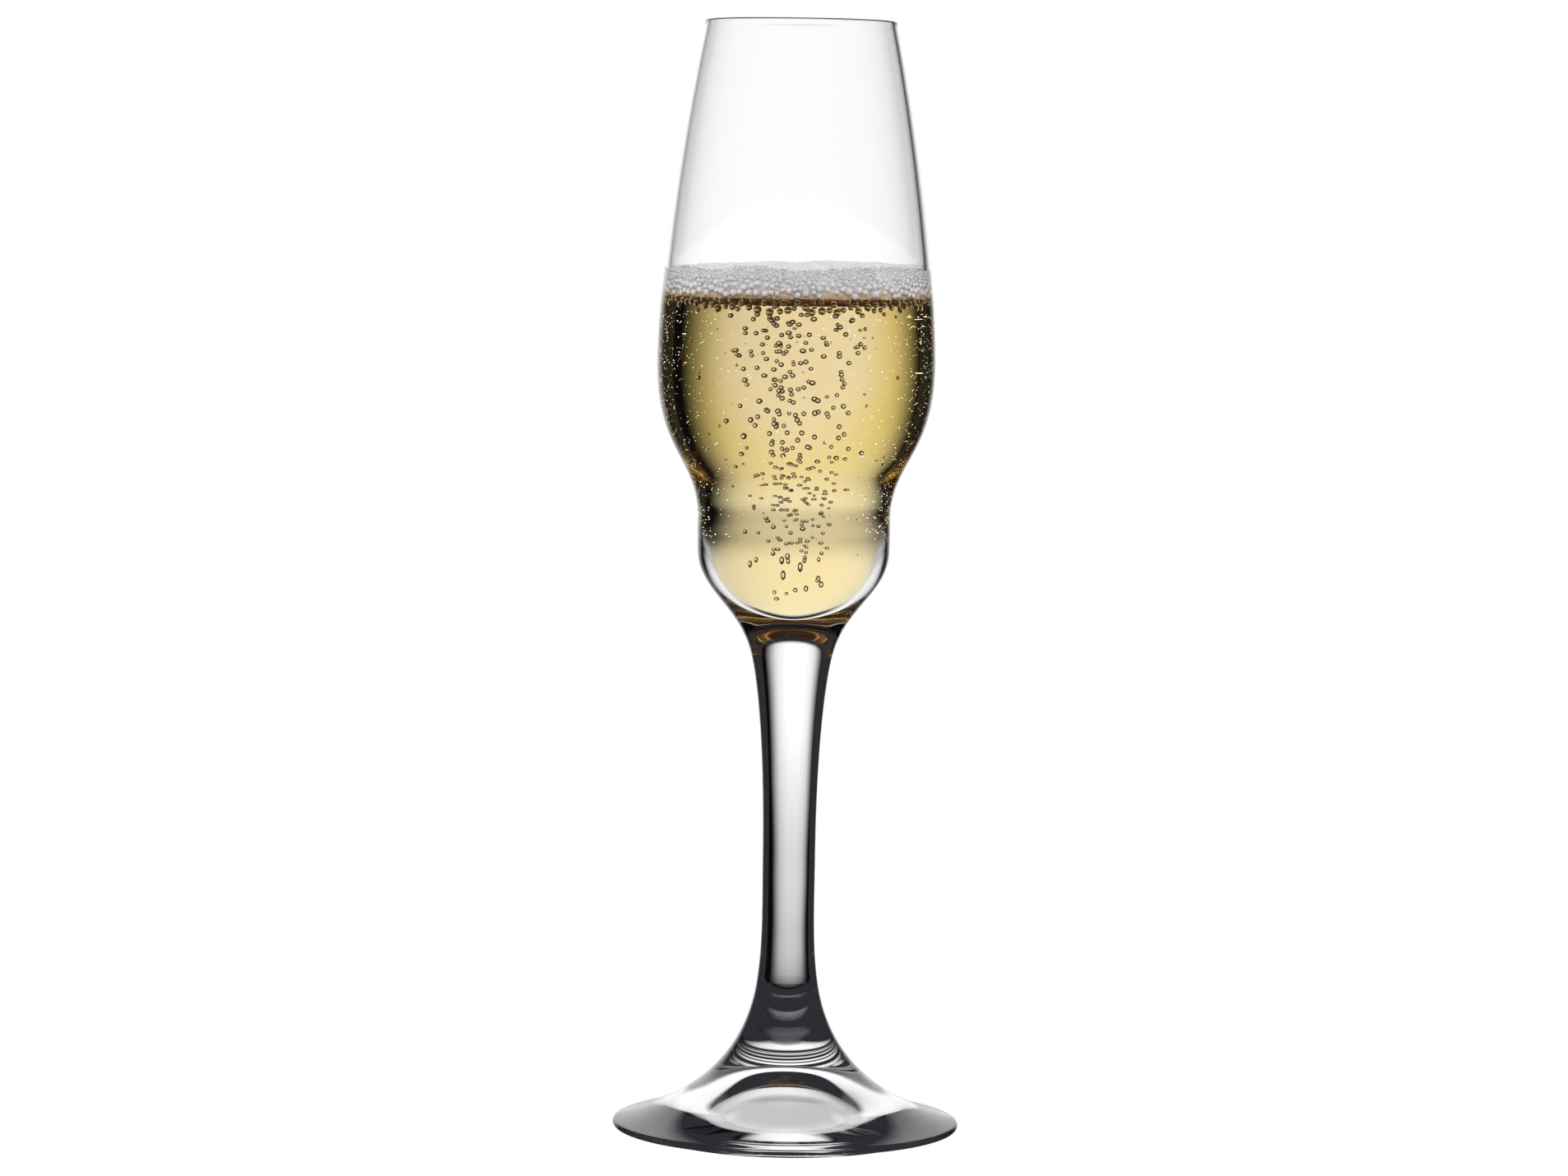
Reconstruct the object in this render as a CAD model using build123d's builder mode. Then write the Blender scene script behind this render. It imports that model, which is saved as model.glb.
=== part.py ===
"""A champagne flute with its drink: foot, stem and bowl of clear glass, the wine, and the foam on it.

Every piece is turned about +Z. The origin is on the floor, at the centre of the standing ring.
Outlines are drawn as (radius, height), in millimetres, and angles are in degrees from the outward radius.
"""

import math
import os

from build123d import *

# Foot: a disc that flares up into the stem and stands on a narrow flat ring.
foot_radius = 35.0
foot_height = 31.5  # floor to the edge of the join with the stem
foot_edge_height = 2.3  # centre of the rounded edge above the floor
foot_edge_rounding = 0.7
foot_top_pitch = 14.0  # slope of the upper face beside the edge
foot_top_pull = 20.0
foot_flare_pull = 12.0
foot_overhang = 7.5  # how far the edge stands out past the standing ring
foot_flank_pitch = 38.0  # slope of the underside beside the standing ring
foot_flank_pull = 2.2
foot_lip_pitch = 8.0  # slope of the underside beside the edge
foot_lip_pull = 3.0
standing_ring_width = 1.2
underside_rise = 10.5  # depth of the hollow under the foot
underside_pitch = 7.0  # slope of the hollow beside the standing ring
underside_crown_pull = 9.5
underside_ring_pull = 13.5

# Stem: a solid rod, thinnest at its waist, with a domed end sunk into the foot.
stem_length = 67.9  # between the edges of its two joins
stem_waist_radius = 5.32
stem_waist_height = 25.5  # above the join with the foot
stem_foot_radius = 6.1
stem_foot_angle = 98.0
stem_foot_dome = 4.0  # depth of the domed end in the foot
stem_foot_pull = 8.0
stem_waist_pull_down = 10.0
stem_waist_pull_up = 24.5
stem_neck_radius = 8.7
stem_neck_angle = 70.7
stem_neck_pull = 4.5
stem_neck_dome = 1.5  # depth of the bowl's domed underside in the stem

# Bowl, outside. Heights are above the edge of its join with the stem.
bowl_height = 125.6
cup_radius = 19.4
cup_shoulder_height = 20.1
cup_neck_pull = 9.5
cup_shoulder_pull = 8.7
cup_wall_height = 5.5  # straight stretch of the cup, above its shoulder
cup_wall_pull = 12.2
belly_radius = 28.0
belly_height = 57.1
belly_pull_down = 18.5
belly_pull_up = 15.0
rim_radius = 19.25
rim_angle = 101.9
rim_pull = 22.5

# Bowl, inside.
rim_wall = 1.0
belly_wall = 1.4
throat_wall = 5.6  # thick wall of the cup
throat_height = 22.6  # above the join with the stem
throat_angle = 82.0
floor_thickness = 8.6  # solid glass between the join and the bottom of the cavity
floor_pull = 4.5
throat_pull_down = 8.0
throat_pull_up = 12.0
inner_belly_pull_down = 16.0
inner_belly_pull_up = 15.0
inner_rim_pull = 22.5

# The drink.
wine_depth = 60.0  # at the axis, from the bottom of the cavity
foam_depth = 8.0

neck_height = foot_height + stem_length
rim_height = neck_height + bowl_height
shoulder_height = neck_height + cup_shoulder_height
cavity_floor_height = neck_height + floor_thickness
wine_level = cavity_floor_height + wine_depth
foam_level = wine_level + foam_depth


def away(point, angle, distance):
    """The point at a distance from another, at an angle from the outward radius."""
    turn = math.radians(angle)
    return point[0] + distance * math.cos(turn), point[1] + distance * math.sin(turn)


def flow(start, leaving, start_pull, end, arriving, end_pull):
    """Control points of a smooth curve that leaves start and arrives at end at the given angles."""
    return start, away(start, leaving, start_pull), away(end, arriving, -end_pull), end


# Points where the outlines change from one curve to the next, as (radius, height).
standing_ring_outer = (foot_radius - foot_overhang, 0)
standing_ring_inner = (standing_ring_outer[0] - standing_ring_width, 0)
underside_top = (0, underside_rise)
edge_centre = (foot_radius - foot_edge_rounding, foot_edge_height)
edge_below = away(edge_centre, foot_lip_pitch - 90, foot_edge_rounding)
edge_above = away(edge_centre, 90 - foot_top_pitch, foot_edge_rounding)
edge_out = away(edge_centre, 0, foot_edge_rounding)
foot_join = (stem_foot_radius, foot_height)
foot_join_low = (0, foot_height - stem_foot_dome)
stem_waist = (stem_waist_radius, foot_height + stem_waist_height)
neck_join = (stem_neck_radius, neck_height)
neck_join_low = (0, neck_height - stem_neck_dome)
cup_shoulder = (cup_radius, shoulder_height)
cup_wall_top = (cup_radius, shoulder_height + cup_wall_height)
belly = (belly_radius, neck_height + belly_height)
lip_centre = (rim_radius - rim_wall / 2, rim_height - rim_wall / 2)
lip_outside = away(lip_centre, rim_angle - 90, rim_wall / 2)
lip_top = away(lip_centre, rim_angle, rim_wall / 2)
lip_inside = away(lip_centre, rim_angle + 90, rim_wall / 2)
cavity_bottom = (0, cavity_floor_height)
throat = (cup_radius - throat_wall, neck_height + throat_height)
inner_belly = (belly_radius - belly_wall, belly[1])

# The inner wall of the bowl, which the wine and the foam fill to the glass.
cavity_cup = flow(cavity_bottom, 0, floor_pull, throat, throat_angle, throat_pull_down)
cavity_body = flow(throat, throat_angle, throat_pull_up, inner_belly, 90, inner_belly_pull_down)
cavity_taper = flow(inner_belly, 90, inner_belly_pull_up, lip_inside, rim_angle, inner_rim_pull)

with BuildPart() as foot:
    with BuildSketch(Plane.XZ):
        with BuildLine():
            Bezier(
                *flow(
                    underside_top, 0, underside_crown_pull,
                    standing_ring_inner, -underside_pitch, underside_ring_pull,
                )
            )
            Line(standing_ring_inner, standing_ring_outer)
            Bezier(
                *flow(
                    standing_ring_outer, foot_flank_pitch, foot_flank_pull,
                    edge_below, foot_lip_pitch, foot_lip_pull,
                )
            )
            ThreePointArc(edge_below, edge_out, edge_above)
            Bezier(
                *flow(
                    edge_above, 180 - foot_top_pitch, foot_top_pull,
                    foot_join, stem_foot_angle, foot_flare_pull,
                )
            )
            TangentArc(foot_join_low, foot_join, tangent=(1, 0))
            Line(foot_join_low, underside_top)
        make_face()
    revolve(axis=Axis.Z)

with BuildPart() as stem:
    with BuildSketch(Plane.XZ):
        with BuildLine():
            TangentArc(foot_join_low, foot_join, tangent=(1, 0))
            Bezier(
                *flow(
                    foot_join, stem_foot_angle, stem_foot_pull,
                    stem_waist, 90, stem_waist_pull_down,
                )
            )
            Bezier(
                *flow(
                    stem_waist, 90, stem_waist_pull_up,
                    neck_join, stem_neck_angle, stem_neck_pull,
                )
            )
            TangentArc(neck_join_low, neck_join, tangent=(1, 0))
            Line(neck_join_low, foot_join_low)
        make_face()
    revolve(axis=Axis.Z)

with BuildPart() as bowl:
    with BuildSketch(Plane.XZ):
        with BuildLine():
            TangentArc(neck_join_low, neck_join, tangent=(1, 0))
            Bezier(
                *flow(
                    neck_join, stem_neck_angle, cup_neck_pull,
                    cup_shoulder, 90, cup_shoulder_pull,
                )
            )
            Line(cup_shoulder, cup_wall_top)
            Bezier(*flow(cup_wall_top, 90, cup_wall_pull, belly, 90, belly_pull_down))
            Bezier(*flow(belly, 90, belly_pull_up, lip_outside, rim_angle, rim_pull))
            ThreePointArc(lip_outside, lip_top, lip_inside)
            Bezier(*cavity_taper)
            Bezier(*cavity_body)
            Bezier(*cavity_cup)
            Line(cavity_bottom, neck_join_low)
        make_face()
    revolve(axis=Axis.Z)


def draw_cavity_half():
    """The lines round one half of the space inside the bowl, up to the rim."""
    Bezier(*cavity_cup)
    Bezier(*cavity_body)
    Bezier(*cavity_taper)
    Polyline(lip_inside, (0, lip_inside[1]), cavity_bottom)


with BuildPart() as wine:
    with BuildSketch(Plane.XZ):
        with BuildLine():
            draw_cavity_half()
        make_face()
        with Locations((0, cavity_floor_height)):
            Rectangle(belly_radius, wine_depth, align=Align.MIN, mode=Mode.INTERSECT)
    revolve(axis=Axis.Z)

with BuildPart() as foam:
    with BuildSketch(Plane.XZ):
        with BuildLine():
            draw_cavity_half()
        make_face()
        with Locations((0, wine_level)):
            Rectangle(belly_radius, foam_depth, align=Align.MIN, mode=Mode.INTERSECT)
    revolve(axis=Axis.Z)

os.makedirs("parts", exist_ok=True)

foot.part.label = "foot"
export_step(foot.part, "parts/foot.step")

stem.part.label = "stem"
export_step(stem.part, "parts/stem.step")

bowl.part.label = "bowl"
export_step(bowl.part, "parts/bowl.step")

wine.part.label = "wine"
export_step(wine.part, "parts/wine.step")

foam.part.label = "foam"
export_step(foam.part, "parts/foam.step")
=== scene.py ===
import math
import random

import bmesh
import bpy
from mathutils import Matrix, Vector


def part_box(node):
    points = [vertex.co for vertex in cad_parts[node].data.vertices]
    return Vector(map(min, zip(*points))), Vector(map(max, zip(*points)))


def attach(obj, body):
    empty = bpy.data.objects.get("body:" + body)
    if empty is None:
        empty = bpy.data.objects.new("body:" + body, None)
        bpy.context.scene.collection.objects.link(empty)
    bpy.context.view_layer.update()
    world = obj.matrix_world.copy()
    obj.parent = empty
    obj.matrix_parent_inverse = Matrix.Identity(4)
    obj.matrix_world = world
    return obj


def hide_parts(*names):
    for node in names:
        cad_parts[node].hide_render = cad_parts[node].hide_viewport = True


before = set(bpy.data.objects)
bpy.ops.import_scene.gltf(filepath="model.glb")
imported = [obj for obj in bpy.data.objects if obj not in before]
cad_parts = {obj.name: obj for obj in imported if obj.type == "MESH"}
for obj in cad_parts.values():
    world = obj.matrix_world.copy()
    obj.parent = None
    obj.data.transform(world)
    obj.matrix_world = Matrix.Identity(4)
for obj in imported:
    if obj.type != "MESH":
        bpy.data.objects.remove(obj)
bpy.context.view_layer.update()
scene = bpy.context.scene

# Camera: a long lens, a little above the height of the wine, looking slightly down on the glass.
# The glass stands a touch off the middle of the picture and leans by less than a degree.
CAMERA_DISTANCE = 1.05
CAMERA_HEIGHT = 0.190
AIM = Vector((-0.0018, 0, 0.1111))
LENS = 119.9
CAMERA_ROLL = math.radians(0.85)

camera_data = bpy.data.cameras.new("camera")
camera_data.lens = LENS
camera_data.sensor_width = 36
camera = bpy.data.objects.new("camera", camera_data)
scene.collection.objects.link(camera)
camera.location = (AIM.x, -CAMERA_DISTANCE, CAMERA_HEIGHT)
look = (AIM - camera.location).to_track_quat("-Z", "Y")
camera.rotation_mode = "QUATERNION"
camera.rotation_quaternion = (look.to_matrix() @ Matrix.Rotation(CAMERA_ROLL, 3, "Z")).to_quaternion()
scene.camera = camera


def shader(name):
    """An empty node material, its tree and its output node."""
    made = bpy.data.materials.new(name)
    made.use_nodes = True
    made.node_tree.nodes.clear()
    output = made.node_tree.nodes.new("ShaderNodeOutputMaterial")
    return made, made.node_tree, output


# Studio: a plain white background, and in front of it a tall glowing sheet that is brightest just left of
# the middle and dims to its sides and downwards. Only what passes through the glass shows the sheet; the
# darkness beside it and under it draws the edges of clear glass as dark lines.
# Both stand behind the glass in every view, as when the glass is turned and the studio stays.
SURROUNDINGS = (0.026, 0.026, 0.032, 1)
BACKDROP_DISTANCE = 1.6
BACKGROUND_GAP = 0.1
FLOOR_RADIUS = 0.6
FLOOR_DROP = 0.0002
SHEET_LIGHT = 1.15
SHEET_MIDDLE = -0.12
SHEET_HALF_WIDTH = 1.3
SHEET_ABOVE = 1.3
SHEET_BELOW = 0.75
SIDE_DIMMING = 0.4
SIDE_DIMMING_FROM = 0.1
SIDE_DIMMING_TO = 1
SIDE_FADE_FROM = 0.5
SIDE_FADE_TO = 1.2
LOW_NARROWING = 1.22
LOW_NARROWING_FROM = -0.24
LOW_NARROWING_TO = -0.04
TOP_FADE = 0.35
LOW_SHARE = 0.55
LOW_SHARE_TOP = -0.25
FULL_FROM = 0.12

world = bpy.data.worlds.new("dark_studio")
world.use_nodes = True
world.node_tree.nodes["Background"].inputs["Color"].default_value = SURROUNDINGS
scene.world = world


def map_range(tree, value, start, end, low, high):
    """A smooth step node: low up to start, high from end."""
    step = tree.nodes.new("ShaderNodeMapRange")
    step.interpolation_type = "SMOOTHSTEP"
    step.inputs["From Min"].default_value = start
    step.inputs["From Max"].default_value = end
    step.inputs["To Min"].default_value = low
    step.inputs["To Max"].default_value = high
    tree.links.new(value, step.inputs["Value"])
    return step.outputs["Result"]


def maths(tree, operation, first, second=None):
    """A Math node on one or two values or outputs."""
    node = tree.nodes.new("ShaderNodeMath")
    node.operation = operation
    for socket, value in zip(node.inputs, (first, second)):
        if isinstance(value, (int, float)):
            socket.default_value = value
        elif value is not None:
            tree.links.new(value, socket)
    return node.outputs["Value"]


def glowing_sheet(name, left, right, low, high, distance):
    """A flat sheet square to the view, between four sides, and its glow node and object coordinates."""
    mesh = bpy.data.meshes.new(name)
    cloth = bmesh.new()
    bmesh.ops.create_grid(cloth, x_segments=1, y_segments=1, size=0.5)
    bmesh.ops.scale(cloth, vec=(right - left, high - low, 1), verts=cloth.verts)
    bmesh.ops.translate(cloth, vec=((left + right) / 2, (low + high) / 2, 0), verts=cloth.verts)
    cloth.to_mesh(mesh)
    cloth.free()
    sheet = bpy.data.objects.new(name, mesh)
    scene.collection.objects.link(sheet)
    sheet.parent = camera
    sheet.location = (0, 0, -distance)
    material, tree, output = shader(name)
    glow = tree.nodes.new("ShaderNodeEmission")
    tree.links.new(glow.outputs["Emission"], output.inputs["Surface"])
    mesh.materials.append(material)
    place = tree.nodes.new("ShaderNodeTexCoord")
    split = tree.nodes.new("ShaderNodeSeparateXYZ")
    tree.links.new(place.outputs["Object"], split.inputs["Vector"])
    return sheet, tree, glow, split


def camera_only(piece):
    """Hides a staged piece from everything but the camera, so that the glass doesn't show it."""
    for ray in ("visible_diffuse", "visible_glossy", "visible_transmission", "visible_volume_scatter"):
        setattr(piece, ray, False)


background = glowing_sheet(
    "background", -1, 1, -1, 1, CAMERA_DISTANCE + BACKDROP_DISTANCE + BACKGROUND_GAP
)[0]
camera_only(background)

floor_mesh = bpy.data.meshes.new("floor")
table = bmesh.new()
bmesh.ops.create_circle(table, cap_ends=True, segments=96, radius=FLOOR_RADIUS)
table.to_mesh(floor_mesh)
table.free()
floor = bpy.data.objects.new("floor", floor_mesh)
scene.collection.objects.link(floor)
floor.location.z = -FLOOR_DROP
floor_mesh.materials.append(background.data.materials[0])
camera_only(floor)

sheet, tree, glow, split = glowing_sheet(
    "light_sheet", -SHEET_HALF_WIDTH, SHEET_HALF_WIDTH, -SHEET_BELOW, SHEET_ABOVE,
    CAMERA_DISTANCE + BACKDROP_DISTANCE,
)
sheet.visible_camera = False
height = split.outputs["Y"]
beside = maths(tree, "ABSOLUTE", maths(tree, "SUBTRACT", split.outputs["X"], SHEET_MIDDLE))
narrowing = map_range(tree, height, LOW_NARROWING_FROM, LOW_NARROWING_TO, LOW_NARROWING, 1)
beside = maths(tree, "MULTIPLY", beside, narrowing)
dimmed = map_range(tree, beside, SIDE_DIMMING_FROM, SIDE_DIMMING_TO, 1, 1 - SIDE_DIMMING)
across = maths(tree, "MULTIPLY", dimmed, map_range(tree, beside, SIDE_FADE_FROM, SIDE_FADE_TO, 1, 0))
low_glow = map_range(tree, height, -SHEET_BELOW, LOW_SHARE_TOP, 0, LOW_SHARE)
high_glow = map_range(tree, height, LOW_SHARE_TOP, FULL_FROM, 0, 1 - LOW_SHARE)
rising = maths(tree, "ADD", low_glow, high_glow)
fading = map_range(tree, height, SHEET_ABOVE - TOP_FADE, SHEET_ABOVE, 1, 0)
strength = maths(tree, "MULTIPLY", maths(tree, "MULTIPLY", across, fading), rising)
tree.links.new(maths(tree, "MULTIPLY", strength, SHEET_LIGHT), glow.inputs["Strength"])

scene.view_settings.view_transform = "Standard"
scene.cycles.max_bounces = 32
scene.cycles.transmission_bounces = 32
scene.cycles.glossy_bounces = 16
scene.cycles.transparent_max_bounces = 64

# Foot: a gather of clear glass, spun out into a disc with a rounded edge that flares up to the stem.
# It stands on a narrow ring round a shallow hollow, and the hot end of the stem was pushed into its top.
FOOT_EDGE_HEIGHT = 0.0023
FOOT_EDGE_ROUNDING = 0.0007
FOOT_OVERHANG = 0.0075
STANDING_RING_WIDTH = 0.0012
UNDERSIDE_RISE = 0.0105
UNDERSIDE_PITCH = 7
UNDERSIDE_CROWN_PULL = 0.0095
UNDERSIDE_RING_PULL = 0.0135
FOOT_TOP_PITCH = 14
FOOT_TOP_PULL = 0.02
FOOT_FLARE_PULL = 0.012
FOOT_FLANK_PITCH = 38
FOOT_FLANK_PULL = 0.0022
FOOT_LIP_PITCH = 8
FOOT_LIP_PULL = 0.003
STEM_FOOT_RADIUS = 0.0061
STEM_FOOT_ANGLE = 98
DOME_STEPS = 16
GLASS_IOR = 1.52
GLASS_WAVES = 90
GLASS_WAVE_HEIGHT = 0.000002
WELD_IOR = 1.025
WELD_WAVES = 400
WELD_WAVE_HEIGHT = 0.00002


def away(point, angle, distance):
    """The point at a distance from another, at an angle in degrees from the outward radius."""
    turned = math.radians(angle)
    return point[0] + distance * math.cos(turned), point[1] + distance * math.sin(turned)


def flow(start, leaving, start_pull, end, arriving, end_pull, steps):
    """Points of a smooth curve that leaves start and arrives at end at the given angles."""
    held = (start, away(start, leaving, start_pull), away(end, arriving, -end_pull), end)
    points = []
    for step in range(steps + 1):
        t = step / steps
        share = ((1 - t) ** 3, 3 * (1 - t) ** 2 * t, 3 * (1 - t) * t * t, t**3)
        points.append(tuple(sum(s * p[k] for s, p in zip(share, held)) for k in (0, 1)))
    return points


def dome(top, edge, steps):
    """Points of the arc that leaves the axis square to it, at top, and ends at edge."""
    radius, rise = edge[0], edge[1] - top[1]
    ball = (radius**2 + rise**2) / (2 * rise)
    sweep = math.asin(radius / abs(ball))
    turns = [sweep * step / steps for step in range(steps + 1)]
    return [(abs(ball) * math.sin(a), top[1] + ball * (1 - math.cos(a))) for a in turns]


def arc(centre, radius, start, end, steps):
    """Points of an arc from one angle to another, in degrees."""
    return [away(centre, start + (end - start) * step / steps, radius) for step in range(steps + 1)]


def turn(shape, outline, finish=0, steps=128):
    """Spins an outline of (radius, height) about the axis of the glass, with one finish all over."""
    before = set(shape.faces)
    verts = [shape.verts.new((max(r, 0), 0, z)) for r, z in outline]
    edges = [shape.edges.new(pair) for pair in zip(verts, verts[1:])]
    bmesh.ops.spin(
        shape, geom=verts + edges, cent=(0, 0, 0), axis=(0, 0, 1), angle=math.tau,
        steps=steps, use_merge=True, use_duplicate=False,
    )
    for face in set(shape.faces) - before:
        face.material_index = finish


def finish_piece(shape, name, materials, crease=25):
    """Welds a turned shape into one closed, smooth mesh object that rides on the glass."""
    bmesh.ops.remove_doubles(shape, verts=shape.verts, dist=1e-6)
    bmesh.ops.dissolve_degenerate(shape, edges=shape.edges, dist=1e-7)
    bmesh.ops.recalc_face_normals(shape, faces=shape.faces)
    for face in shape.faces:
        face.smooth = True
    for edge in shape.edges:
        edge.smooth = edge.calc_face_angle(0) < math.radians(crease)
    mesh = bpy.data.meshes.new(name)
    shape.to_mesh(mesh)
    shape.free()
    for material in materials:
        mesh.materials.append(material)
    piece = bpy.data.objects.new(name, mesh)
    scene.collection.objects.link(piece)
    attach(piece, "root")
    return piece


def clear(name, ior):
    """A clear, smooth, colourless body, with its tree and its shader node."""
    made, tree, output = shader(name)
    body = tree.nodes.new("ShaderNodeBsdfPrincipled")
    body.inputs["Base Color"].default_value = (1, 1, 1, 1)
    body.inputs["Roughness"].default_value = 0
    body.inputs["IOR"].default_value = ior
    body.inputs["Transmission Weight"].default_value = 1
    tree.links.new(body.outputs["BSDF"], output.inputs["Surface"])
    return made, tree, body


def ripple(tree, body, scale, height):
    """The faint unevenness of glass that was shaped hot: slow waves in its surface."""
    place = tree.nodes.new("ShaderNodeTexCoord")
    waves = tree.nodes.new("ShaderNodeTexNoise")
    waves.inputs["Scale"].default_value = scale
    waves.inputs["Detail"].default_value = 1
    bump = tree.nodes.new("ShaderNodeBump")
    bump.inputs["Distance"].default_value = height
    tree.links.new(place.outputs["Object"], waves.inputs["Vector"])
    tree.links.new(waves.outputs["Fac"], bump.inputs["Height"])
    tree.links.new(bump.outputs["Normal"], body.inputs["Normal"])


foot_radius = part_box("foot")[1].x
foot_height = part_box("foot")[1].z
foot_join = (STEM_FOOT_RADIUS, foot_height)
foot_join_low = (0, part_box("stem")[0].z)
ring_outer = (foot_radius - FOOT_OVERHANG, 0)
ring_inner = (ring_outer[0] - STANDING_RING_WIDTH, 0)
edge_centre = (foot_radius - FOOT_EDGE_ROUNDING, FOOT_EDGE_HEIGHT)
edge_below = away(edge_centre, FOOT_LIP_PITCH - 90, FOOT_EDGE_ROUNDING)
edge_above = away(edge_centre, 90 - FOOT_TOP_PITCH, FOOT_EDGE_ROUNDING)

clear_glass, tree, body = clear("clear_glass", GLASS_IOR)
ripple(tree, body, GLASS_WAVES, GLASS_WAVE_HEIGHT)
fused_joint, tree, output = shader("fused_joint")
open_face = tree.nodes.new("ShaderNodeBsdfTransparent")
tree.links.new(open_face.outputs["BSDF"], output.inputs["Surface"])
stem_weld, tree, body = clear("stem_weld", WELD_IOR)
ripple(tree, body, WELD_WAVES, WELD_WAVE_HEIGHT)

foot_shape = bmesh.new()
turn(
    foot_shape,
    flow(
        (0, UNDERSIDE_RISE), 0, UNDERSIDE_CROWN_PULL,
        ring_inner, -UNDERSIDE_PITCH, UNDERSIDE_RING_PULL, 120,
    ),
)
turn(foot_shape, [ring_inner, ring_outer])
turn(
    foot_shape,
    flow(ring_outer, FOOT_FLANK_PITCH, FOOT_FLANK_PULL, edge_below, FOOT_LIP_PITCH, FOOT_LIP_PULL, 24)
    + arc(edge_centre, FOOT_EDGE_ROUNDING, FOOT_LIP_PITCH - 90, 90 - FOOT_TOP_PITCH, 20)[1:]
    + flow(
        edge_above, 180 - FOOT_TOP_PITCH, FOOT_TOP_PULL, foot_join, STEM_FOOT_ANGLE, FOOT_FLARE_PULL, 160
    )[1:],
)
turn(foot_shape, dome(foot_join_low, foot_join, DOME_STEPS), 1)
foot = finish_piece(foot_shape, "foot_glass", [clear_glass, stem_weld])
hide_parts("foot")

# Stem: a solid rod of the same glass, drawn out thin at its waist. Its domed lower end is sunk in the
# foot, and its upper end widens into the underside of the bowl.
STEM_WAIST_RADIUS = 0.00532
STEM_WAIST_HEIGHT = 0.0255
STEM_NECK_ANGLE = 70.7
STEM_FOOT_PULL = 0.008
STEM_WAIST_PULL_DOWN = 0.010
STEM_WAIST_PULL_UP = 0.0245
STEM_NECK_PULL = 0.0045
JOIN_GAP = 0.00002

neck_join = (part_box("stem")[1].x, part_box("stem")[1].z)
neck_join_low = (0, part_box("bowl")[0].z)
stem_waist = (STEM_WAIST_RADIUS, foot_height + STEM_WAIST_HEIGHT)

stem_shape = bmesh.new()
turn(stem_shape, dome((0, foot_join_low[1] + JOIN_GAP), foot_join, DOME_STEPS), 1)
turn(
    stem_shape,
    flow(foot_join, STEM_FOOT_ANGLE, STEM_FOOT_PULL, stem_waist, 90, STEM_WAIST_PULL_DOWN, 60)
    + flow(stem_waist, 90, STEM_WAIST_PULL_UP, neck_join, STEM_NECK_ANGLE, STEM_NECK_PULL, 200)[1:],
)
turn(stem_shape, dome((0, neck_join_low[1] - JOIN_GAP), neck_join, DOME_STEPS), 1)
stem = finish_piece(stem_shape, "stem_glass", [clear_glass, fused_joint])
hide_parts("stem")

# Bowl: blown glass with a thick solid bottom and a narrow cup, opening to a belly and closing again to
# a thin rim, which was melted round with a flame. Where the wine wets it, it bends light less. Its wetted
# part also carries a painted gold tint for the golden light that comes through the wine: stronger low in
# the cup, and a painted deeper gold where the view slants through the glass, mostly in the belly.
CUP_RADIUS = 0.0194
CUP_SHOULDER_HEIGHT = 0.0201
CUP_NECK_PULL = 0.0095
CUP_SHOULDER_PULL = 0.0087
CUP_WALL_HEIGHT = 0.0055
CUP_WALL_PULL = 0.0122
BELLY_HEIGHT = 0.0571
BELLY_PULL_DOWN = 0.0185
BELLY_PULL_UP = 0.015
RIM_RADIUS = 0.01925
RIM_ANGLE = 101.9
RIM_PULL = 0.0225
RIM_WALL = 0.001
THROAT_WALL = 0.0056
THROAT_HEIGHT = 0.0226
THROAT_ANGLE = 82
THROAT_PULL_DOWN = 0.008
THROAT_PULL_UP = 0.012
CAVITY_FLOOR_PULL = 0.0045
INNER_BELLY_PULL_DOWN = 0.016
WET_LINE_DROP = 0.0006
WINE_IOR = 1.342
# Painted golden light: a gold tint on the wetted glass, low in the cup, for the light that comes through
# the wine.
PAINTED_GOLD_LIGHT = (1, 0.92, 0.68, 1)
GOLD_FROM = 0.116
GOLD_TO = 0.142
# Painted deeper gold where the view slants through the wetted glass, for the longer path of the light
# through the wine.
PAINTED_SLANT_GOLD_LIGHT = (0.98, 0.89, 0.42, 1)
SLANT_FROM = 0.02
SLANT_TO = 0.18
CUP_SHARE = 0.2
BELLY_FROM = 0.122
BELLY_TO = 0.150
TINT_FADE = 0.001
WHITE = (1, 1, 1, 1)

rim_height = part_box("bowl")[1].z
cup_shoulder = (CUP_RADIUS, neck_join[1] + CUP_SHOULDER_HEIGHT)
cup_wall_top = (CUP_RADIUS, cup_shoulder[1] + CUP_WALL_HEIGHT)
belly = (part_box("bowl")[1].x, neck_join[1] + BELLY_HEIGHT)
lip_centre = (RIM_RADIUS - RIM_WALL / 2, rim_height - RIM_WALL / 2)
lip_outside = away(lip_centre, RIM_ANGLE - 90, RIM_WALL / 2)
lip_inside = away(lip_centre, RIM_ANGLE + 90, RIM_WALL / 2)
cavity_bottom = (0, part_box("wine")[0].z)
throat = (CUP_RADIUS - THROAT_WALL, neck_join[1] + THROAT_HEIGHT)
inner_belly = (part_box("wine")[1].x, belly[1])
wine_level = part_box("wine")[1].z
foam_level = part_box("foam")[1].z
cavity = (
    flow(cavity_bottom, 0, CAVITY_FLOOR_PULL, throat, THROAT_ANGLE, THROAT_PULL_DOWN, 80)
    + flow(throat, THROAT_ANGLE, THROAT_PULL_UP, inner_belly, 90, INNER_BELLY_PULL_DOWN, 80)[1:]
    + flow(inner_belly, 90, BELLY_PULL_UP, lip_inside, RIM_ANGLE, RIM_PULL, 70)[1:]
)

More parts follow.
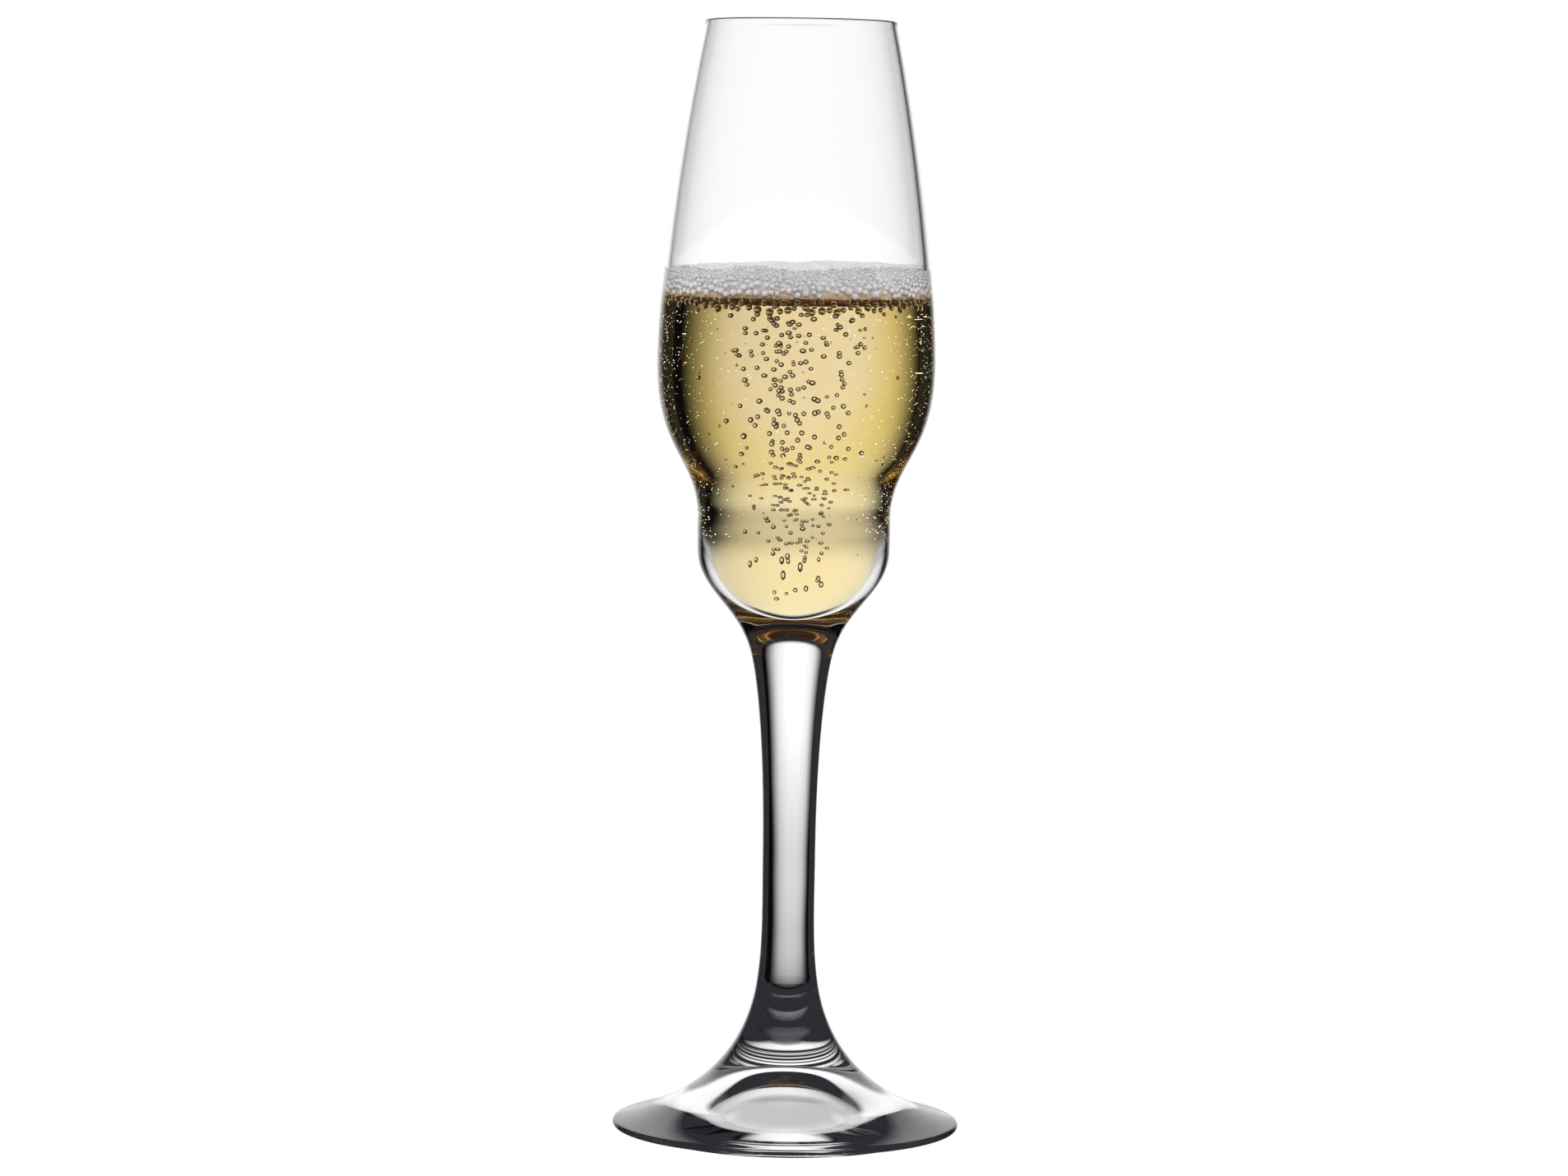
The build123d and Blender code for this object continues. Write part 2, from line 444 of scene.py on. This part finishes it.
wetted_glass, tree, body = clear("wetted_glass", GLASS_IOR / WINE_IOR)
place = tree.nodes.new("ShaderNodeTexCoord")
split = tree.nodes.new("ShaderNodeSeparateXYZ")
tree.links.new(place.outputs["Object"], split.inputs["Vector"])
# Painted gold tint low in the wetted glass: it stands in for the golden light through the wine.
painted_gold = tree.nodes.new("ShaderNodeValToRGB")
painted_gold.color_ramp.elements[0].color = PAINTED_GOLD_LIGHT
painted_gold.color_ramp.elements[1].color = WHITE
tree.links.new(map_range(tree, split.outputs["Z"], GOLD_FROM, GOLD_TO, 0, 1), painted_gold.inputs["Fac"])
# Painted deeper gold by the slant of the view through the glass, mostly in the belly and below the top of
# the wine.
slant = tree.nodes.new("ShaderNodeLayerWeight")
painted_slant_gold = tree.nodes.new("ShaderNodeValToRGB")
painted_slant_gold.color_ramp.elements[0].color = WHITE
painted_slant_gold.color_ramp.elements[1].color = PAINTED_SLANT_GOLD_LIGHT
both = tree.nodes.new("ShaderNodeVectorMath")
both.operation = "MULTIPLY"
painted_slant_share = map_range(tree, slant.outputs["Facing"], SLANT_FROM, SLANT_TO, 0, 1)
belly_only = map_range(tree, split.outputs["Z"], BELLY_FROM, BELLY_TO, CUP_SHARE, 1)
below_foam = map_range(tree, split.outputs["Z"], wine_level - TINT_FADE, wine_level + TINT_FADE, 1, 0)
painted_slant_share = maths(tree, "MULTIPLY", painted_slant_share, maths(tree, "MULTIPLY", belly_only, below_foam))
tree.links.new(painted_slant_share, painted_slant_gold.inputs["Fac"])
tree.links.new(painted_gold.outputs["Color"], both.inputs[0])
tree.links.new(painted_slant_gold.outputs["Color"], both.inputs[1])
tree.links.new(both.outputs["Vector"], body.inputs["Base Color"])


def cavity_radius(height):
    """Radius of the space inside the bowl at a height."""
    for (r0, z0), (r1, z1) in zip(cavity, cavity[1:]):
        if z0 <= height <= z1:
            return r0 + (r1 - r0) * (height - z0) / (z1 - z0)
    return cavity[-1][0]


wet_line = foam_level - WET_LINE_DROP
wetted = [p for p in cavity if p[1] < wet_line] + [(cavity_radius(wet_line), wet_line)]
dry = wetted[-1:] + [p for p in cavity if p[1] > wet_line]

bowl_shape = bmesh.new()
turn(bowl_shape, dome(neck_join_low, neck_join, DOME_STEPS), 1)
turn(
    bowl_shape,
    flow(neck_join, STEM_NECK_ANGLE, CUP_NECK_PULL, cup_shoulder, 90, CUP_SHOULDER_PULL, 120)
    + [(CUP_RADIUS, cup_shoulder[1] + CUP_WALL_HEIGHT * s / 4) for s in range(1, 4)]
    + flow(cup_wall_top, 90, CUP_WALL_PULL, belly, 90, BELLY_PULL_DOWN, 50)
    + flow(belly, 90, BELLY_PULL_UP, lip_outside, RIM_ANGLE, RIM_PULL, 60)[1:]
    + arc(lip_centre, RIM_WALL / 2, RIM_ANGLE - 90, RIM_ANGLE + 90, 12)[1:]
    + dry[::-1][1:],
)
turn(bowl_shape, wetted, 2)
bowl = finish_piece(bowl_shape, "bowl_glass", [clear_glass, fused_joint, wetted_glass], crease=40)
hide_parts("bowl")

# Wine: a pale gold liquid that fills the bowl to just past its belly and climbs a little up the glass.
# The glass it wets already bends the light into it, so its own faces don't, and they stop just short of
# the glass to leave room for the bubbles that cling there.
WINE_COLOUR = (0.80, 0.60, 0.06, 1)
WINE_DENSITY = 22  # per metre
WINE_GAP = 0.0003
MENISCUS_RISE = 0.0015
MENISCUS_REACH = 0.0035

wine_gold, tree, body = clear("wine_gold", 1)
soak = tree.nodes.new("ShaderNodeVolumeAbsorption")
soak.inputs["Color"].default_value = WINE_COLOUR
soak.inputs["Density"].default_value = WINE_DENSITY
tree.links.new(soak.outputs["Volume"], tree.nodes["Material Output"].inputs["Volume"])


def cavity_line(low, high, steps, gap):
    """Points up the inner wall of the bowl between two heights, a little inside it."""
    heights = [low + (high - low) * step / steps for step in range(steps + 1)]
    return [(cavity_radius(z) - gap, z) for z in heights]


contact = wine_level + MENISCUS_RISE
wine_side = [(max(r - WINE_GAP, 0), z + WINE_GAP * (z < throat[1])) for r, z in cavity if z < wine_level]
wine_side += cavity_line(wine_level, contact, 4, WINE_GAP)
still = (wine_side[-1][0] - MENISCUS_REACH, wine_level)
wine_shape = bmesh.new()
turn(wine_shape, wine_side)
turn(wine_shape, flow(wine_side[-1], 235, 0.0008, still, 180, 0.002, 12) + [(0, wine_level)])
wine = finish_piece(wine_shape, "wine", [wine_gold], crease=60)
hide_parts("wine")

# Foam: a head of gas bubbles, as fine as froth on top and coarser towards the wine, with a wavy surface.
# Its core scatters light like milk under a cover of half clear bubbles, and is soaked with wine at the
# bottom; the lowest bubbles are large and clear, hang in the wine, and carry a painted amber shade for
# the dim, wine-coloured light under the foam.
FOAM_WALL_GAP = 0.0009
FOAM_WAVE = 0.0005
FOAM_SLOPE = 0.016
COLLAR_RISE = 0.0010
HANG = 0.0016
SOAKED_HEIGHT = 0.003
SOAKED_FOAM = (0.72, 0.43, 0.17, 1)
DRY_FOAM = (0.86, 0.86, 0.87, 1)
SKIN_GAP = 0.00006
# Painted amber shade on the clear gas of the lowest bubbles, for the dim, wine-coloured light under the
# foam.
PAINTED_AMBER_SHADE = (0.97, 0.76, 0.43, 1)
SKIN_WHITE = (0.95, 0.95, 0.96, 1)
SKIN_CLEARNESS = 0.35
CORE_GRAIN = 1500
CORE_GRAIN_HEIGHT = 0.0002
CORE_DEPTH_OF_LIGHT = 0.004
CORE_UNDER_TOP = 0.0005
COLLAR_SMALLEST = 0.00055
COLLAR_LARGEST = 0.00085
FROTH_LOWEST_RADIUS = 0.00078
FROTH_SHRINKING = 0.00048
COARSE_ABOVE = 0.0004
SURFACE_RADII = (0.0003, 0.0004, 0.0006, 0.0009)

foam_core, tree, output = shader("foam_core")
milk = tree.nodes.new("ShaderNodeBsdfPrincipled")
place = tree.nodes.new("ShaderNodeTexCoord")
split = tree.nodes.new("ShaderNodeSeparateXYZ")
tree.links.new(place.outputs["Object"], split.inputs["Vector"])
soaked = tree.nodes.new("ShaderNodeValToRGB")
soaked.color_ramp.elements[0].color = SOAKED_FOAM
soaked.color_ramp.elements[1].color = DRY_FOAM
rise = map_range(tree, split.outputs["Z"], contact, contact + SOAKED_HEIGHT, 0, 1)
tree.links.new(rise, soaked.inputs["Fac"])
tree.links.new(soaked.outputs["Color"], milk.inputs["Base Color"])
milk.inputs["Roughness"].default_value = 0.35
milk.inputs["Subsurface Weight"].default_value = 1
milk.inputs["Subsurface Radius"].default_value = (1, 1, 1)
milk.inputs["Subsurface Scale"].default_value = CORE_DEPTH_OF_LIGHT
tree.links.new(milk.outputs["BSDF"], output.inputs["Surface"])
ripple(tree, milk, CORE_GRAIN, CORE_GRAIN_HEIGHT)
foam_skin, tree, output = shader("foam_skin")
skin = tree.nodes.new("ShaderNodeBsdfPrincipled")
skin.inputs["Base Color"].default_value = SKIN_WHITE
skin.inputs["Roughness"].default_value = 0.1
skin.inputs["IOR"].default_value = 1.34
skin.inputs["Transmission Weight"].default_value = SKIN_CLEARNESS
tree.links.new(skin.outputs["BSDF"], output.inputs["Surface"])
# The lowest bubbles: clear gas in the wine, tinted with the painted amber shade.
painted_amber_gas, tree, body = clear("painted_amber_gas", 1 / WINE_IOR)
body.inputs["Base Color"].default_value = PAINTED_AMBER_SHADE


def foam_top(x, y):
    """Height of the wavy surface of the foam."""
    wave = math.sin(150 * x + 0.5) * math.cos(110 * y + 0.3) + 0.6 * math.sin(330 * x - 190 * y)
    return foam_level + 0.0002 + FOAM_SLOPE * x + FOAM_WAVE * wave


def ball_form(detail):
    """Corners and faces of a small round ball of radius 1."""
    ball = bmesh.new()
    bmesh.ops.create_icosphere(ball, subdivisions=detail, radius=1)
    corners = [vert.co.copy() for vert in ball.verts]
    faces = [[vert.index for vert in face.verts] for face in ball.faces]
    ball.free()
    return corners, faces


def bubbles(name, spots, detail, material):
    """One object of many round bubbles, each a (centre, radius) pair."""
    corners, faces = ball_form(detail)
    mesh = bpy.data.meshes.new(name)
    mesh.from_pydata(
        [centre + corner * radius for centre, radius in spots for corner in corners],
        [],
        [[index + n * len(corners) for index in face] for n in range(len(spots)) for face in faces],
    )
    mesh.shade_smooth()
    mesh.materials.append(material)
    piece = bpy.data.objects.new(name, mesh)
    scene.collection.objects.link(piece)
    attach(piece, "root")
    return piece


def pack(offer, tries, packed, cell=0.0018, overlap=0.94):
    """Keeps the offered (centre, radius) pairs that lie clear of every pair packed before."""
    kept = []
    for _ in range(tries):
        centre, radius = offer()
        key = tuple(int(c // cell) for c in centre)
        near = [
            other
            for i in (-1, 0, 1) for j in (-1, 0, 1) for k in (-1, 0, 1)
            for other in packed.get((key[0] + i, key[1] + j, key[2] + k), ())
        ]
        if all((centre - c).length > overlap * (radius + r) for c, r in near):
            packed.setdefault(key, []).append((centre, radius))
            kept.append((centre, radius))
    return kept


def against_glass(angle, z, radius):
    """The centre of a bubble that touches the glass at an angle and a height."""
    reach = cavity_radius(z) - SKIN_GAP - radius
    return Vector((reach * math.cos(angle), reach * math.sin(angle), z))


def hanging():
    """An offer of a large bubble under the foam, lower the nearer it is to the front or the back."""
    angle = chance.uniform(0, math.tau)
    radius = chance.uniform(COLLAR_SMALLEST, COLLAR_LARGEST)
    drop = (COLLAR_RISE + HANG * abs(math.sin(angle))) * chance.uniform(0, 1) ** 0.7
    return against_glass(angle, contact + COLLAR_RISE - radius - drop, radius), radius


def in_the_foam():
    """An offer of a foam bubble against the glass, smaller the higher it is."""
    angle = chance.uniform(0, math.tau)
    low = contact + 0.8 * COLLAR_RISE
    rise = chance.uniform(0, 1)
    usual = FROTH_LOWEST_RADIUS - FROTH_SHRINKING * min(1, rise * 1.25)
    radius = chance.uniform(0.75, 1.25) * usual
    edge = cavity_radius(foam_level)
    top = foam_top(edge * math.cos(angle), edge * math.sin(angle)) - radius
    return against_glass(angle, low + (top - low) * rise, radius), radius


def on_the_surface():
    """An offer of a bubble at the surface of the foam."""
    angle = chance.uniform(0, math.tau)
    radius = chance.choice(SURFACE_RADII)
    reach = (cavity_radius(foam_level) - WINE_GAP - radius) * math.sqrt(chance.uniform(0, 1))
    x, y = reach * math.cos(angle), reach * math.sin(angle)
    return Vector((x, y, foam_top(x, y) - radius)), radius


core_side = cavity_line(contact + 0.0003, foam_level - 0.0008, 10, FOAM_WALL_GAP)
core_shape = bmesh.new()
turn(core_shape, [(0, wine_level + 0.0002), (still[0] - 0.001, wine_level + 0.0002)] + core_side)
turn(core_shape, [(core_side[-1][0] * step / 12, core_side[-1][1]) for step in range(12, -1, -1)])
for vert in core_shape.verts:
    if vert.co.z > core_side[-1][1] - 1e-6:
        vert.co.z = foam_top(vert.co.x, vert.co.y) - CORE_UNDER_TOP
foam = finish_piece(core_shape, "foam", [foam_core])

chance = random.Random(7)
packed = {}
collar = bubbles("foam_collar", pack(hanging, 6000, packed), 2, painted_amber_gas)
froth = pack(in_the_foam, 45000, packed)
coarse = bubbles("foam_bubbles", [b for b in froth if b[1] > COARSE_ABOVE], 2, foam_skin)
fine = bubbles("foam_froth", [b for b in froth if b[1] <= COARSE_ABOVE], 1, foam_skin)
surface = bubbles("foam_surface", pack(on_the_surface, 14000, packed), 2, foam_skin)
for piece in (foam, collar, coarse, fine, surface):
    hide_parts("foam")

# Bubbles: carbon dioxide that leaves a few spots on the bottom of the bowl in strings, grows and speeds up
# as it rises, and strays; and a haze of tiny ones near the glass, thickest at the two sides.
RING_RADIUS = 1.35
RING_HEIGHT = 0.75
RING_AIM = (0, 0, 0.16)
LAMP_SIZE = 0.9
STRINGS = 17
STRING_SPREAD = 0.0009
STRING_DRIFT = 0.007
STRAYS = 130
STRAY_RADII = (0.00012, 0.00018, 0.0003, 0.0004)
HAZE = 2000
HAZE_RADII = (0.00006, 0.00008, 0.00010, 0.00013)
HAZE_GAP = 0.00003
FOAM_LIGHT = 17
HAZE_LIGHT = 60


def string_of_bubbles(start_angle, start_reach, low, count):
    """Bubbles that rise one after another from a spot, further apart the higher they are."""
    twist = chance.uniform(0, math.tau)
    rising = []
    for n in range(count):
        rise = (n + chance.uniform(0.1, 0.9)) / count
        z = low + (wine_level - 0.001 - low) * rise**0.9
        drift = STRING_DRIFT * rise * chance.uniform(0.6, 1.2)
        x = start_reach * math.cos(start_angle) + drift * math.cos(twist) + chance.gauss(0, STRING_SPREAD)
        y = start_reach * math.sin(start_angle) + drift * math.sin(twist) + chance.gauss(0, STRING_SPREAD)
        rising.append((Vector((x, y, z)), chance.uniform(0.00028, 0.0004) + 0.00012 * rise))
    return rising


def clear_of_glass(spot):
    """Whether a bubble lies clear of the glass."""
    centre, radius = spot
    return math.hypot(centre.x, centre.y) + radius < cavity_radius(centre.z) - 0.0004


rising = []
for n in range(STRINGS):
    low = cavity_bottom[1] + chance.uniform(0.003, 0.009)
    start_reach = 0.006 * math.sqrt(chance.uniform(0, 1))
    rising += string_of_bubbles(chance.uniform(0, math.tau), start_reach, low, chance.randint(12, 22))
for n in range(STRAYS):
    angle = chance.uniform(0, math.tau)
    z = cavity_bottom[1] + 0.006 + (wine_level - cavity_bottom[1] - 0.007) * chance.uniform(0, 1) ** 0.7
    reach = cavity_radius(z) * math.sqrt(chance.uniform(0, 0.75))
    radius = chance.choice(STRAY_RADII)
    rising.append((Vector((reach * math.cos(angle), reach * math.sin(angle), z)), radius))
rising = [spot for spot in rising if clear_of_glass(spot)]
gas = clear("gas", 1 / WINE_IOR)[0]
bubbles("gas_bubbles", rising, 2, gas)

haze = []
for n in range(HAZE):
    z = cavity_bottom[1] + 0.012 + (wine_level - cavity_bottom[1] - 0.013) * chance.uniform(0, 1) ** 0.6
    radius = chance.choice(HAZE_RADII)
    angle = chance.choice((0, math.pi)) + chance.gauss(0, 0.5)
    reach = cavity_radius(z) - radius - HAZE_GAP
    haze.append((Vector((reach * math.cos(angle), reach * math.sin(angle), z)), radius))
clinging = bubbles("clinging_bubbles", haze, 1, foam_skin)


def ring_of_light(name, pieces, power):
    """Four soft lamps round the glass that fall on some pieces only and pass through the rest."""
    lit = bpy.data.collections.new(name)
    for piece in pieces:
        lit.objects.link(piece)
    for n in range(4):
        lamp = bpy.data.lights.new(f"{name}_{n}", "AREA")
        lamp.shape = "SQUARE"
        lamp.size = LAMP_SIZE
        lamp.energy = power
        held = bpy.data.objects.new(lamp.name, lamp)
        scene.collection.objects.link(held)
        held.location = (*away((0, 0), 90 * n, RING_RADIUS), RING_HEIGHT)
        held.rotation_mode = "QUATERNION"
        held.rotation_quaternion = (Vector(RING_AIM) - held.location).to_track_quat("-Z", "Y")
        held.light_linking.receiver_collection = lit
        held.light_linking.blocker_collection = lit


ring_of_light("foam_light", (foam, coarse, fine, surface), FOAM_LIGHT)
ring_of_light("haze_light", (clinging,), HAZE_LIGHT)
